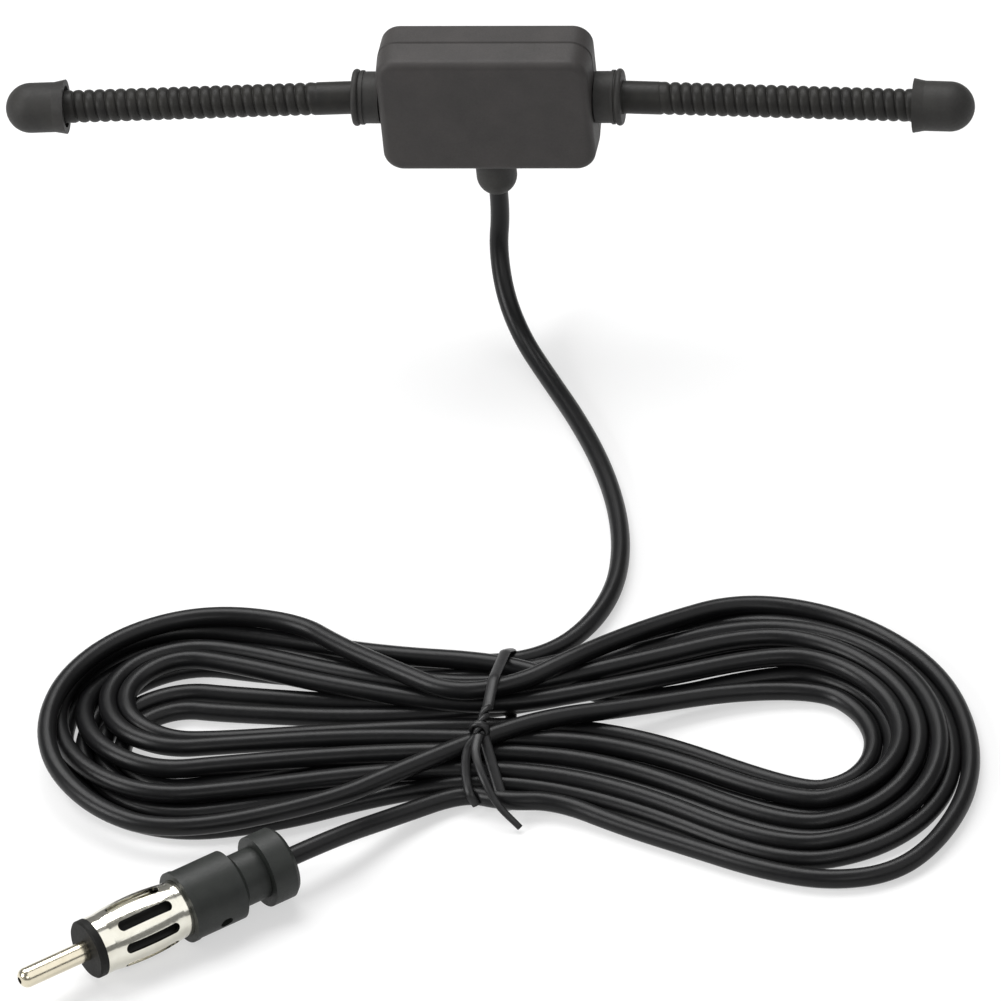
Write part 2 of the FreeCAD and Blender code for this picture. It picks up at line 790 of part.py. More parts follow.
def make_hank_block():
    body = new_body("hank_block")
    sketch = new_sketch(body, "outside", "XY_Plane")
    hank_outline(sketch)
    ring(sketch, s.right_eye_radius, s.right_eye_x, s.right_eye_y)
    ring(sketch, s.left_eye_radius, s.left_eye_x, s.left_eye_y)
    block = pad(body, sketch, s.hank_height)

    def at_waist(edge):
        return all(abs(v.Point.x - s.waist_x.value) < 1e-3 for v in edge.Vertexes)

    def level(edge):
        heights = [v.Point.z for v in edge.Vertexes]
        return max(heights) - min(heights) < 1e-4

    waist = soften(body, "Fillet", block, edges_where(block, at_waist), s.waist_round)
    soften(body, "Chamfer", waist, edges_where(waist, level), s.hank_bevel)
    place(body, z=surface_z)
    return body


tie_height = s.hank_height + s.tie_thickness - s.tie_pinch
tie_width = (s.waist_half - s.tie_pinch + s.tie_thickness) * 2


def tie_frame(label, outer_width, outer_height, grip, length):
    """A rounded frame round the hank's waist: grip is how far its opening is smaller than the tie's."""
    body = new_body(label)
    sketch = new_sketch(body, "section", "YZ_Plane")
    inner_width = tie_width - s.tie_thickness * 2 - grip * 2
    inner_height = tie_height - s.tie_thickness * 2 - grip * 2
    rounded_rectangle(sketch, outer_width, outer_height, s.tie_corner)
    rounded_rectangle(sketch, inner_width, inner_height, s.tie_corner - s.tie_thickness)
    pad(body, sketch, length, both_ways=True)
    place(body, x=s.waist_x, y=s.waist_y, z=surface_z + tie_height / 2)
    return body


def make_hank(lead, tail):
    """Hank with a channel for the tie, and the places where the lead and the tail run into it."""
    block = make_hank_block()
    channel = tie_frame("tie_channel", tie_width + s.waist_half, tie_height + s.hank_height, s.fit_gap,
                        s.tie_width + s.slide_gap * 2)
    cut = doc.addObject("Part::Cut", "hank_with_channel")
    cut.Base = block
    cut.Tool = channel
    ends = doc.addObject("Part::Compound", "hank_ends")
    ends.Links = [lead, tail]
    hank = doc.addObject("Part::Cut", "cable_hank")
    hank.Base = cut
    hank.Tool = ends
    hank.Label = "cable_hank"
    return keep(hank)


def make_tie():
    """Twist tie: a band round the waist, with its twisted end bent down to the surface."""
    band = tie_frame("tie_band", tie_width, tie_height, as_size(0), s.tie_width)
    over = surface_z.value + tie_height.value
    front = s.waist_y.value - tie_width.value / 2
    x = s.waist_x.value
    end = make_tube("tie_end", [(x + dx, front + dy, over + dz) for dx, dy, dz in TIE_END_POINTS],
                    s.tie_wire_radius)
    tie = doc.addObject("Part::Fuse", "twist_tie")
    tie.Base = band
    tie.Tool = end
    tie.Label = "twist_tie"
    return keep(tie)


plug_neck_start = s.plug_cap_length
plug_shoulder_start = plug_neck_start + s.plug_neck
plug_body_start = plug_shoulder_start + s.plug_shoulder
plug_body_end = plug_body_start + s.plug_body
barrel_start = plug_body_end - s.barrel_seat
barrel_end = plug_body_end + s.barrel_length
pin_start = barrel_end + s.disc_thickness
pin_end = pin_start + s.pin_length


def round_slot(sketch, start, length, width):
    """A slot along X with rounded ends."""
    end_radius = width / 2 * SLOT_END_EASE
    first = start + width / 2
    last = start + length - width / 2
    outline(sketch, [
        (first, -width / 2), (last, -width / 2, end_radius),
        (last, width / 2), (first, width / 2, end_radius),
    ])


def make_barrel():
    """Sprung sheet-metal barrel: bulged between two plain collars, with slots all round."""
    rear = plug_body_end + s.barrel_rear_collar
    front = barrel_end - s.barrel_front_collar
    rear_in = s.barrel_rear_radius - s.barrel_sheet
    front_in = s.barrel_front_radius - s.barrel_sheet
    barrel = turned("plug_barrel", [
        (barrel_start, rear_in), (barrel_start, s.barrel_rear_radius),
        (rear, s.barrel_rear_radius, -s.barrel_bulge_radius),
        (front, s.barrel_front_radius), (barrel_end, s.barrel_front_radius),
        (barrel_end, front_in), (front, front_in, s.barrel_bulge_radius - s.barrel_sheet),
        (rear, rear_in),
    ])
    sketch = new_sketch(barrel, "slot", "XZ_Plane", turn=s.slot_turn)
    slot_start = (rear + front - s.slot_length) / 2
    round_slot(sketch, slot_start, s.slot_length, s.slot_width)
    slot = pocket(barrel, sketch, s.barrel_front_radius * 2)
    pattern = barrel.newObject("PartDesign::PolarPattern", "slots")
    pattern.Originals = [slot]
    pattern.Axis = (sketch, ["H_Axis"])
    pattern.Angle = 360
    pattern.setExpression("Occurrences", s.slot_count.text)
    barrel.Tip = pattern
    doc.recompute()
    return barrel


def make_plug_body():
    """Plastic body: a rim in front, a bevelled shoulder and a neck, with a window in one side."""
    bore_step = barrel_start - s.fit_gap
    body = turned("plug_body", [
        (plug_neck_start, s.plug_body_bore), (plug_neck_start, s.plug_neck_radius),
        (plug_shoulder_start, s.plug_neck_radius), (plug_body_start, s.plug_body_radius),
        (plug_body_end - s.plug_rim, s.plug_body_radius), (plug_body_end - s.plug_rim, s.plug_rim_radius),
        (plug_body_end, s.plug_rim_radius), (plug_body_end, s.barrel_rear_radius + s.fit_gap),
        (bore_step, s.barrel_rear_radius + s.fit_gap), (bore_step, s.plug_body_bore),
    ])
    sketch = new_sketch(body, "window", "XZ_Plane", turn=s.window_turn)
    round_slot(sketch, plug_body_end - s.window_set_back - s.window_length / 2, s.window_length,
               s.window_width)
    pocket(body, sketch, s.plug_rim_radius * 2)
    return body


def make_plug():
    """Aerial plug. Lengths run forward from the rear of its cap, along X."""
    cable_bore = s.cable_radius + s.fit_gap
    ferrule_radius = s.plug_body_bore - s.fit_gap
    spigot_end = plug_neck_start + s.plug_spigot
    cap_front = plug_neck_start - s.fit_gap
    cap = turned("plug_cap", [
        (0, cable_bore), (0, s.plug_cap_nose_radius), (s.plug_cap_bevel, s.plug_cap_radius),
        (cap_front, s.plug_cap_radius), (cap_front, ferrule_radius), (spigot_end, ferrule_radius),
        (spigot_end, cable_bore),
    ])
    ferrule_end = barrel_start + s.ferrule_flange + s.fit_gap
    flange_start = barrel_start + s.fit_gap
    flange_radius = s.barrel_rear_radius - s.barrel_sheet - s.fit_gap
    ferrule = turned("plug_ferrule", [
        (flange_start - s.ferrule_length, cable_bore), (flange_start - s.ferrule_length, ferrule_radius),
        (flange_start, ferrule_radius), (flange_start, flange_radius), (ferrule_end, flange_radius),
        (ferrule_end, cable_bore),
    ])
    cable_end = flange_start
    cable = turned("cable_plug_end", [
        (0, 0), (0, s.cable_radius), (cable_end, s.cable_radius), (cable_end, 0),
    ])
    pin_tail = pin_start - s.pin_tail
    conductor_end = pin_tail + s.conductor_in_pin
    conductor = turned("plug_conductor", [
        (cable_end + s.fit_gap, 0), (cable_end + s.fit_gap, s.conductor_radius),
        (conductor_end, s.conductor_radius), (conductor_end, 0),
    ])
    hub_radius = s.barrel_front_radius - s.barrel_sheet - s.fit_gap
    pin_hole = s.pin_tail_radius + s.fit_gap
    disc_back = barrel_end + s.fit_gap
    hub_start = barrel_end - s.hub_depth
    tube_start = hub_start - s.insulator_tube
    disc = turned("plug_insulator", [
        (tube_start, pin_hole), (tube_start, s.insulator_tube_radius), (hub_start, s.insulator_tube_radius),
        (hub_start, hub_radius), (disc_back, hub_radius), (disc_back, s.disc_radius),
        (pin_start - s.disc_bevel, s.disc_radius), (pin_start, s.disc_radius - s.disc_bevel),
        (pin_start, pin_hole),
    ])
    pin_seat = pin_start + s.fit_gap
    pin = turned("plug_pin", [
        (pin_tail, s.pin_bore), (pin_tail, s.pin_tail_radius), (pin_seat, s.pin_tail_radius),
        (pin_seat, s.pin_radius), (pin_end - s.pin_nose, s.pin_radius, -s.pin_nose_radius),
        (pin_end, s.pin_mouth_radius), (pin_end - s.pin_nose, s.pin_mouth_radius),
        (pin_end - s.pin_nose, s.pin_bore),
    ])
    for body in (cap, ferrule, cable, conductor, disc, pin, make_barrel(), make_plug_body()):
        place(body, x=s.plug_x, y=s.plug_y, z=surface_z + s.plug_rim_radius, turn=s.plug_heading)
        keep(body)


def main():
    make_front_shell()
    make_rear_shell()
    make_adhesive_pad()
    make_board()
    make_coil()
    make_chips()
    left_lead = make_arm(-1, "left")
    right_lead = make_arm(1, "right")
    conductor = make_cable_entry()
    make_solder([
        (left_lead, -arm_lead_x, 0),
        (right_lead, arm_lead_x, 0),
        (conductor, 0, conductor_z),
    ])
    lead = keep(make_tube("cable_lead", LEAD_POINTS, s.cable_radius))
    tail = keep(make_tube("cable_tail", TAIL_POINTS, s.cable_radius))
    make_hank(lead, tail)
    make_tie()
    make_plug()
    doc.recompute()

    for item in doc.Objects:
        if "Invalid" in item.State or "Error" in item.State:
            raise RuntimeError(f"{item.Label} failed: {item.State}")
    for node in nodes:
        if node.Shape.isNull() or not node.Shape.isValid():
            raise RuntimeError(f"{node.Label} has no valid shape")
    os.makedirs("parts", exist_ok=True)
    for node in nodes:
        node.Shape.exportStep(f"parts/{node.Label}.step")
    print(len(nodes), "sub-parts written")


main()
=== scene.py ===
# %% [markdown]
# # Windshield radio antenna
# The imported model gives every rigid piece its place: a small housing, two flexible arms and a plug. This
# lesson adds what makes it look real: a thin coax cable tied in a hank, ribbed sleeves, a twisted tie, and
# finishes for plastic, rubber and nickel. All lengths in the scene are metres, and the values below are
# written in millimetres, because that is how the object is measured.

import bmesh
import bpy
import math
import numpy as np
from mathutils import Matrix, Vector


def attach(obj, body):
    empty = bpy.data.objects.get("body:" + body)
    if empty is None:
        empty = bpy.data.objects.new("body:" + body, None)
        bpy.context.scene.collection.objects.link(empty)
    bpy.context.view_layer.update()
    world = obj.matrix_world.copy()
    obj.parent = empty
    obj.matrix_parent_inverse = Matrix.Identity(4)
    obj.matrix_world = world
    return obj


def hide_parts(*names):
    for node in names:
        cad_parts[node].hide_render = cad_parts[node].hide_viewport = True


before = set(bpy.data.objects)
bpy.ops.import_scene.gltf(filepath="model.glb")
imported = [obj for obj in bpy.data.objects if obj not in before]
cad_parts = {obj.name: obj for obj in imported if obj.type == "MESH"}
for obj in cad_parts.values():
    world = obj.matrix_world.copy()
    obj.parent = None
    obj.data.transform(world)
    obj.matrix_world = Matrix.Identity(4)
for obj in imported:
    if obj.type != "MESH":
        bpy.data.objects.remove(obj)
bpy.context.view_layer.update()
scene = bpy.context.scene
scene.view_settings.view_transform = "Standard"
MM = 0.001
print("pieces in the packed model:", len(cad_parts))


# %% [markdown]
# ## Camera
# The picture was taken from far away with a long lens, a little from the right and well from above. The
# arms lie level in it, so the camera's own sideways axis is the arms' axis, laid flat in the picture.

# %% Camera
CAMERA_AZIMUTH = 10.0
CAMERA_ELEVATION = 38.0
CAMERA_LENS = 1300.0
SENSOR = 36.0
NEAREST, FARTHEST = 1.0, 30.0
PICTURE_WIDTH = 156.4
PICTURE_CENTRE = Vector((4.0, -57.65, -40.0))

azimuth = math.radians(CAMERA_AZIMUTH)
elevation = math.radians(CAMERA_ELEVATION)
towards_camera = Vector((math.sin(azimuth) * math.cos(elevation),
                         -math.cos(azimuth) * math.cos(elevation),
                         math.sin(elevation)))
arm_axis = Vector((1, 0, 0))
picture_right = (arm_axis - towards_camera * arm_axis.dot(towards_camera)).normalized()
picture_up = towards_camera.cross(picture_right)
distance = PICTURE_WIDTH * CAMERA_LENS / SENSOR

lens = bpy.data.cameras.new("camera")
lens.lens = CAMERA_LENS
lens.sensor_width = SENSOR
lens.clip_start = NEAREST
lens.clip_end = FARTHEST
camera = bpy.data.objects.new("camera", lens)
turned = Matrix((picture_right, picture_up, towards_camera)).transposed().to_4x4()
camera.matrix_world = Matrix.Translation((PICTURE_CENTRE + towards_camera * distance) * MM) @ turned
scene.collection.objects.link(camera)
scene.camera = camera
print("camera stands", round(distance), "mm away")


# %% [markdown]
# ## Route of the cable
# The cable leaves the bush under the housing, drops to the surface and curls over to the hank. These are
# the same points that the solid model uses for its free stretches.

# %% Free stretches of the cable
CABLE_DIAMETER = 3.0
SURFACE = -42.0
LYING = SURFACE + CABLE_DIAMETER / 2
LEAD_POINTS = [
    (0.0, -6.4, -17.85),
    (0.0, -6.4, -22.8),
    (-0.8, -8.0, -28.6),
    (0.3, -12.6, -34.6),
    (3.4, -18.6, -38.6),
    (8.0, -26.0, -40.25),
    (13.8, -36.5, -40.5),
    (18.8, -47.6, -40.5),
    (22.4, -58.6, -40.5),
    (24.3, -69.0, -40.5),
    (24.3, -79.0, -40.5),
    (21.6, -88.0, -40.5),
    (16.4, -95.0, -40.5),
]
TAIL_POINTS = [
    (6.0, -129.6, -40.5),
    (-3.8, -137.0, -39.4),
    (-11.924, -145.938, -36.2),
    (-19.4, -151.8, -36.2),
]
print("free points:", len(LEAD_POINTS) + len(TAIL_POINTS))


# %% [markdown]
# ## Turns of the hank
# A hank is wound round two fingers and then pinched in the middle, so each turn is two round lobes with a
# waist between them. The first four turns lie on the surface, from the outside in. The next four drop into
# the grooves between them. Each turn is a little off the one before, as hand-wound turns are. After them
# the cable crosses the waist on top, makes one wide last turn the other way round and leaves for the plug.
#
# A turn's rank counts from the outside in. It gives the turn's place in the waist, in the fan where the
# turns part on their way to the right, and in the two lobes.

# %% Plan of the hank
WAIST = (8.8, -114.3)
WAIST_HALF = 13.7
WAIST_PITCH = 1.72
FAN = (30.0, -112.0)
FAN_HALF = 19.3
FAN_FRONT_PITCH = 2.19
FAN_REAR_PITCH = 2.55
TURN_RANKS = (0, 2, 4, 6, 1, 3, 5, 7)
# Lobes shrink and move from the outermost turn to the innermost.
LOWER_LEFT = {"outer": (-34.9, -115.6), "inner": (-40.2, -120.3),
              "radius": 24.2, "shrink": 16.4, "power": 0.85}
UPPER_LEFT = {"outer": (-37.8, -113.4), "inner": (-39.7, -108.5),
              "radius": 25.6, "shrink": 15.8, "power": 0.63}
RIGHT = {"outer": (51.4, -117.0), "inner": (56.4, -115.8),
         "radius": 29.3, "shrink": 15.4, "power": 1.0}
LEFT_SPAN = 118
RIGHT_SPAN = 90
RIGHT_LEAN = 0.2
LOBE_POINTS = 7
SPLINE_EASE = 1.035
# How far a turn strays, and how high each layer starts above the surface.
STRAY, STRAY_RATE, STRAY_PHASE = 0.6, 2.3, 0.6
LAYER = 2.0
TOP_LAYER = 6.2
NEST = 1.2
CLIMB = 2.4
# The wide turn: over the waist to the front, round the left, back over the waist and round the right.
CROSSING = [(46.0, -105.6), (30.0, -112.0), (18.0, -117.2), (8.0, -123.2), (-4.0, -130.6), (-14.0, -136.2)]
WIDE_LEFT = {"centre": (-34.4, -117.5), "radius": 25.4, "first": 262, "last": 66}
WIDE_LEFT_LIFT = 0.65
WIDE_WAIST = [(-16.0, -100.3), (-6.0, -107.0), (3.0, -112.6), (13.0, -110.8), (20.0, -105.4),
              (26.5, -99.2), (34.0, -92.6)]
WIDE_RIGHT = [(44.0, -85.8), (56.0, -85.6), (68.0, -90.8), (76.8, -101.5), (81.6, -115.0),
              (83.0, -129.0), (81.2, -141.6), (75.0, -149.4), (65.0, -151.4), (54.0, -148.4),
              (43.0, -143.2), (32.0, -137.2), (21.0, -131.2), (13.0, -128.8)]
WIDE_RIGHT_LIFT = 0.2


def between(start, end, share):
    """The point that lies this share of the way from start to end."""
    return tuple(a + (b - a) * share for a, b in zip(start, end))


def lobe(centre, radius, first, last, lean=0.0):
    """Points round a lobe. The spline runs inside its points, so they stand a little further out."""
    for step in range(LOBE_POINTS):
        angle = math.radians(first + (last - first) * step / (LOBE_POINTS - 1))
        reach = radius * SPLINE_EASE
        yield (centre[0] + reach * (math.cos(angle) - lean * math.sin(angle)),
               centre[1] + reach * math.sin(angle))


def lobe_size(plan, inward, nest=0.0):
    """Centre and radius of the lobe that lies this share of the way in."""
    x, y = between(plan["outer"], plan["inner"], inward)
    return x, y, plan["radius"] - nest - plan["shrink"] * inward ** plan["power"]


def shoulder(start, end, bow=0.03):
    """Middle of a run between waist and lobe, bowed a little towards the bundle's middle."""
    x, y = between(start, end, 0.5)
    return x - (end[1] - start[1]) * bow, y + (end[0] - start[0]) * bow


def waist(rank, side):
    """Where a turn passes the waist, at the rear (side 1) or the front (side -1)."""
    return WAIST[0], WAIST[1] + side * (WAIST_HALF - WAIST_PITCH * rank)


def fan(rank, side):
    """Where the turns start to part on their way from the waist to the right lobe."""
    pitch = FAN_REAR_PITCH if side > 0 else FAN_FRONT_PITCH
    nest = NEST if side > 0 and rank % 2 else 0.0
    return FAN[0], FAN[1] + side * (FAN_HALF - pitch * rank) - nest


def hank_points():
    """The turns from the lead to the tail, as points for the spline."""
    points = []

    def lay(plan, lift):
        points.extend((x, y, LYING + lift) for x, y in plan)

    last = len(TURN_RANKS) - 1
    for turn, rank in enumerate(TURN_RANKS):
        inward = rank / last
        upper = turn > last // 2
        lift = LAYER if upper else 0.0
        nest = NEST / 2 if upper else 0.0
        stray = STRAY * math.sin(STRAY_RATE * turn + STRAY_PHASE)
        x, y, radius = lobe_size(UPPER_LEFT if upper else LOWER_LEFT, inward)
        left = list(lobe((x + stray, y + stray), radius, 180 - LEFT_SPAN, 180 + LEFT_SPAN))
        x, y, radius = lobe_size(RIGHT, inward, nest)
        right = list(lobe((x + stray, y - stray - nest), radius, -RIGHT_SPAN, RIGHT_SPAN, RIGHT_LEAN))
        rear = waist(rank, 1)
        front = waist(rank, -1)
        lay([rear, shoulder(rear, left[0]), *left, shoulder(left[-1], front), front, fan(rank, -1)], lift)
        if turn < last:
            lay([*right, fan(rank, 1)], lift)
        else:
            lay(right[:-1], lift)
        if turn == last // 2:
            # Here the cable climbs over the lower turns to start the upper ones.
            lay([between(fan(rank, 1), waist(TURN_RANKS[turn + 1], 1), 0.5)], LAYER * CLIMB)
    lay(CROSSING, TOP_LAYER)
    lay(lobe(**WIDE_LEFT), TOP_LAYER * WIDE_LEFT_LIFT)
    lay(WIDE_WAIST, TOP_LAYER)
    lay(WIDE_RIGHT, TOP_LAYER * WIDE_RIGHT_LIFT)
    return points


turns = hank_points()
route = np.array(LEAD_POINTS + turns + TAIL_POINTS)
in_hank = np.zeros(len(route), bool)
in_hank[len(LEAD_POINTS):len(LEAD_POINTS) + len(turns)] = True
print("points in the hank:", len(turns))


# %% [markdown]
# ## Settling the turns
# Real turns can't pass through each other: they slide apart and climb over one another. Many small passes
# do most of that here. Each pass measures the line and pushes apart the stretches that lie closer than one
# cable diameter. Then it draws them back a little to their plan, lets them sink, smooths their height and
# keeps them between the surface and a ceiling. The tie runs under the waist, so the turns rest on it there.

# %% Settle the turns on each other
SAMPLES_PER_RUN = 6
PASSES = 160
PASSES_PER_SEARCH = 10
SEARCH_DIAMETERS = 1.6
APART_DIAMETERS = 5
LATER_ON_TOP = 0.35
LEAST_WEIGHT = 0.3
DRAW_BACK = 0.03
SINK = 0.04
SMOOTHING = 0.15
TIE_BED = 1.25
TIE_REACH = 8.0
CEILING = -33.8


def spline_weights(count):
    """Weights of a quadratic spline's control points at even steps along it, away from its two ends."""
    rows = np.zeros(((count - 2) * SAMPLES_PER_RUN, count))
    for row in range(len(rows)):
        run, step = divmod(row, SAMPLES_PER_RUN)
        t = step / SAMPLES_PER_RUN
        rows[row, run:run + 3] = (1 - t) ** 2 / 2, (1 + 2 * t - 2 * t * t) / 2, t * t / 2
    return rows


def close_pairs(line, along, reach):
    """Pairs of samples that are near each other in space but far apart along the cable."""
    gap = np.linalg.norm(line[:, None] - line[None], axis=2)
    apart = np.abs(along[:, None] - along[None]) > APART_DIAMETERS * CABLE_DIAMETER
    return np.nonzero((gap < reach) & apart)


def settle(points, free):
    """Move the free points until their stretches lie beside and on each other."""
    weights = spline_weights(len(points))
    start = points.copy()
    from_tie = np.abs(points[:, 0] - WAIST[0])
    bed = LYING + np.interp(from_tie, (TIE_REACH, 2 * TIE_REACH), (TIE_BED, 0.0))
    for step in range(PASSES):
        line = weights @ points
        if step % PASSES_PER_SEARCH == 0:
            along = np.concatenate([[0], np.cumsum(np.linalg.norm(np.diff(line, axis=0), axis=1))])
            first, second = close_pairs(line, along, CABLE_DIAMETER * SEARCH_DIAMETERS)
        way = line[first] - line[second]
        gap = np.linalg.norm(way, axis=1)
        touch = gap < CABLE_DIAMETER
        mine = first[touch]
        way = way[touch]
        # The stretch that was laid later goes on top.
        way[:, 2] += LATER_ON_TOP * np.sign(along[mine] - along[second[touch]])
        way /= np.linalg.norm(way, axis=1)[:, None]
        push = np.zeros_like(line)
        count = np.zeros(len(line))
        np.add.at(push, mine, way * ((CABLE_DIAMETER - gap[touch]) / 2)[:, None])
        np.add.at(count, mine, 1)
        push /= np.maximum(count, 1)[:, None]
        move = (weights.T @ push) / np.maximum(weights.T @ (count > 0), LEAST_WEIGHT)[:, None]
        points[free] += move[free]
        points[free, :2] += DRAW_BACK * (start[free, :2] - points[free, :2])
        points[free, 2] -= SINK
        level = points[:, 2].copy()
        level[1:-1] = (level[:-2] + 2 * level[1:-1] + level[2:]) / 4
        points[free, 2] += SMOOTHING * (level[free] - points[free, 2])
        points[free, 2] = np.clip(points[free, 2], bed[free], CEILING)
    line = weights @ points
    left_over = CABLE_DIAMETER - np.linalg.norm(line[first] - line[second], axis=1)
    print("deepest overlap after settling:", round(float(left_over.max()), 2), "mm")
    return points


route = settle(route, in_hank)


# %% [markdown]
# ## Cable
# One open NURBS spline with a round bevel is the cable, from the bush to the rear of the plug. Its control
# points are the route's points. The order is set after the points are there, because a spline with too few
# points falls back to straight runs.

# %% Make the cable
CURVE_STEPS = 10
BEVEL_STEPS = 5

cable_curve = bpy.data.curves.new("cable", "CURVE")
cable_curve.dimensions = "3D"
cable_curve.resolution_u = CURVE_STEPS
cable_curve.bevel_depth = CABLE_DIAMETER / 2 * MM
cable_curve.bevel_resolution = BEVEL_STEPS
cable_curve.use_fill_caps = True
spline = cable_curve.splines.new("NURBS")
spline.points.add(len(route) - 1)
for point, place in zip(spline.points, route):
    point.co = (*(place * MM), 1.0)
spline.use_endpoint_u = True
spline.order_u = 3
cable = bpy.data.objects.new("cable", cable_curve)
scene.collection.objects.link(cable)


def centreline(curve_object):
    """Points along a curve, read from a copy of it that has no bevel."""
    bare = curve_object.data.copy()
    bare.bevel_depth = 0.0
    probe = bpy.data.objects.new("probe", bare)
    scene.collection.objects.link(probe)
    mesh = bpy.data.meshes.new_from_object(probe.evaluated_get(bpy.context.evaluated_depsgraph_get()))
    points = np.array([vertex.co for vertex in mesh.vertices])
    bpy.data.objects.remove(probe)
    bpy.data.curves.remove(bare)
    bpy.data.meshes.remove(mesh)
    return points


cable_line = centreline(cable)


# %% [markdown]
# ## Colours and nodes
# Colours are written as they look on a screen, in sRGB, and one function turns them into the linear values
# that shaders use. A second one adds a node: a plain value is set on a socket, and a socket is linked.

# %% Colour and node helpers
def colour(code):
    """Linear colour from a screen colour such as #336699."""
    channels = [int(code[i:i + 2], 16) / 255 for i in (1, 3, 5)]
    linear = [c / 12.92 if c <= 0.04045 else ((c + 0.055) / 1.055) ** 2.4 for c in channels]
    return (*linear, 1.0)


def add_node(tree, kind, inputs=None, **settings):
    """Add a node with these settings, and set or link its inputs."""
    made = tree.nodes.new(kind)
    for name, value in settings.items():
        setattr(made, name, value)
    for key, value in (inputs or {}).items():
        if isinstance(value, bpy.types.NodeSocket):
            tree.links.new(value, made.inputs[key])
        else:
            made.inputs[key].default_value = value
    return made


def per_metre(size_mm):
    """Texture scale for a pattern whose features are this many millimetres wide."""
    return 1 / (size_mm * MM)


# %% [markdown]
# ## Finishes
# Moulded plastic and rubber look flat without the marks of their making: a fine grain from the tool's
# surface, soft cloudy patches where the skin cooled unevenly, and a roughness that follows both. One
# function makes such a skin, and each finish gives it its own colours and sizes.

# %% Moulded skins
def moulded_skin(name, dark, pale, rough, grain_mm, depth_mm, cloud_mm, specular=0.35):
    """A moulded surface: clouds blend two colours, and a fine grain roughens it."""
    material = bpy.data.materials.new(name)
    material.use_nodes = True
    tree = material.node_tree
    shader = tree.nodes["Principled BSDF"]
    shader.inputs["Specular IOR Level"].default_value = specular
    place = add_node(tree, "ShaderNodeTexCoord").outputs["Object"]
    clouds = add_node(tree, "ShaderNodeTexNoise", {
        "Vector": place, "Scale": per_metre(cloud_mm), "Detail": 4.0, "Roughness": 0.6})
    grain = add_node(tree, "ShaderNodeTexNoise", {
        "Vector": place, "Scale": per_metre(grain_mm), "Detail": 3.0, "Roughness": 0.7})
    spread = add_node(tree, "ShaderNodeMapRange", {
        "Value": clouds.outputs["Fac"], "From Min": 0.3, "From Max": 0.7})
    tint = add_node(tree, "ShaderNodeMix", {
        "Factor": spread.outputs["Result"], "A": colour(dark), "B": colour(pale)}, data_type="RGBA")
    gloss = add_node(tree, "ShaderNodeMapRange", {
        "Value": grain.outputs["Fac"], "From Min": 0.25, "From Max": 0.75,
        "To Min": rough[0], "To Max": rough[1]})
    bump = add_node(tree, "ShaderNodeBump", {
        "Height": grain.outputs["Fac"], "Strength": 0.6, "Distance": depth_mm * MM})
    tree.links.new(tint.outputs["Result"], shader.inputs["Base Color"])
    tree.links.new(gloss.outputs["Result"], shader.inputs["Roughness"])
    tree.links.new(bump.outputs["Normal"], shader.inputs["Normal"])
    return material


# The housing is ABS from a spark-eroded tool: charcoal, dry to the eye, with a fine even grain.
housing_abs = moulded_skin("charcoal_abs", "#2e2c2b", "#363332", rough=(0.5, 0.7),
                           grain_mm=0.3, depth_mm=0.03, cloud_mm=6.0)
# Collars, caps and bush are soft rubber: a little greyer where hands have rubbed them, almost no shine.
soft_rubber = moulded_skin("moulded_rubber", "#242322", "#2d2c2a", rough=(0.5, 0.72),
                           grain_mm=0.45, depth_mm=0.02, cloud_mm=4.0, specular=0.3)
# The arms' sleeve is shrunk over its wire, with a satin skin that is stretched smooth.
shrunk_sleeve = moulded_skin("shrunk_sleeve", "#181716", "#22211e", rough=(0.42, 0.6),
                             grain_mm=0.35, depth_mm=0.012, cloud_mm=3.0, specular=0.24)
# The cable's sheath is extruded PVC: black, with a soft satin shine along its length.
cable_pvc = moulded_skin("extruded_pvc", "#0c0c0d", "#141415", rough=(0.3, 0.42),
                         grain_mm=0.5, depth_mm=0.006, cloud_mm=7.0, specular=0.22)
# The tie is steel wire in a thin skin of plastic.
tie_skin = moulded_skin("tie_skin", "#111112", "#1c1c1d", rough=(0.32, 0.48),
                        grain_mm=0.4, depth_mm=0.01, cloud_mm=2.0)
# The plug's body and cap are glass-filled nylon, grey-black with a slight green in its sheen.
plug_nylon = moulded_skin("filled_nylon", "#171a18", "#222522", rough=(0.4, 0.6),
                          grain_mm=0.3, depth_mm=0.015, cloud_mm=3.5)
# The insulator is a hard black moulding, scuffed a little by use.
insulator_black = moulded_skin("hard_insulator", "#0b0b0a", "#141412", rough=(0.5, 0.7),
                               grain_mm=0.3, depth_mm=0.012, cloud_mm=1.5, specular=0.2)
# The pad is closed-cell foam with an adhesive skin.
foam_pad = moulded_skin("closed_cell_foam", "#19191a", "#2a2a2b", rough=(0.75, 0.95),
                        grain_mm=0.5, depth_mm=0.08, cloud_mm=3.0, specular=0.2)
# What the housing hides: a lacquered board, ferrite, ceramic chips and a nylon rod.
board_lacquer = moulded_skin("board_lacquer", "#0d4a26", "#16602f", rough=(0.25, 0.4),
                             grain_mm=0.6, depth_mm=0.01, cloud_mm=2.0)
ferrite_grey = moulded_skin("sintered_ferrite", "#2c2d30", "#3a3b3f", rough=(0.5, 0.7),
                            grain_mm=0.2, depth_mm=0.01, cloud_mm=1.0)
chip_ceramic = moulded_skin("chip_ceramic", "#6b5338", "#826848", rough=(0.3, 0.5),
                            grain_mm=0.2, depth_mm=0.004, cloud_mm=0.8)
nylon_rod = moulded_skin("drawn_nylon", "#c9c6bb", "#d8d6cd", rough=(0.35, 0.5),
                         grain_mm=0.4, depth_mm=0.004, cloud_mm=2.0)


# %% [markdown]
# ## Metals
# The barrel is sheet brass, rolled, bulged in a press and plated with bright nickel. Plating follows the
# sheet's faint waves, so reflections wander a little, and handling leaves very fine scuffs. Copper wire
# and solder use the same skin with other colours.

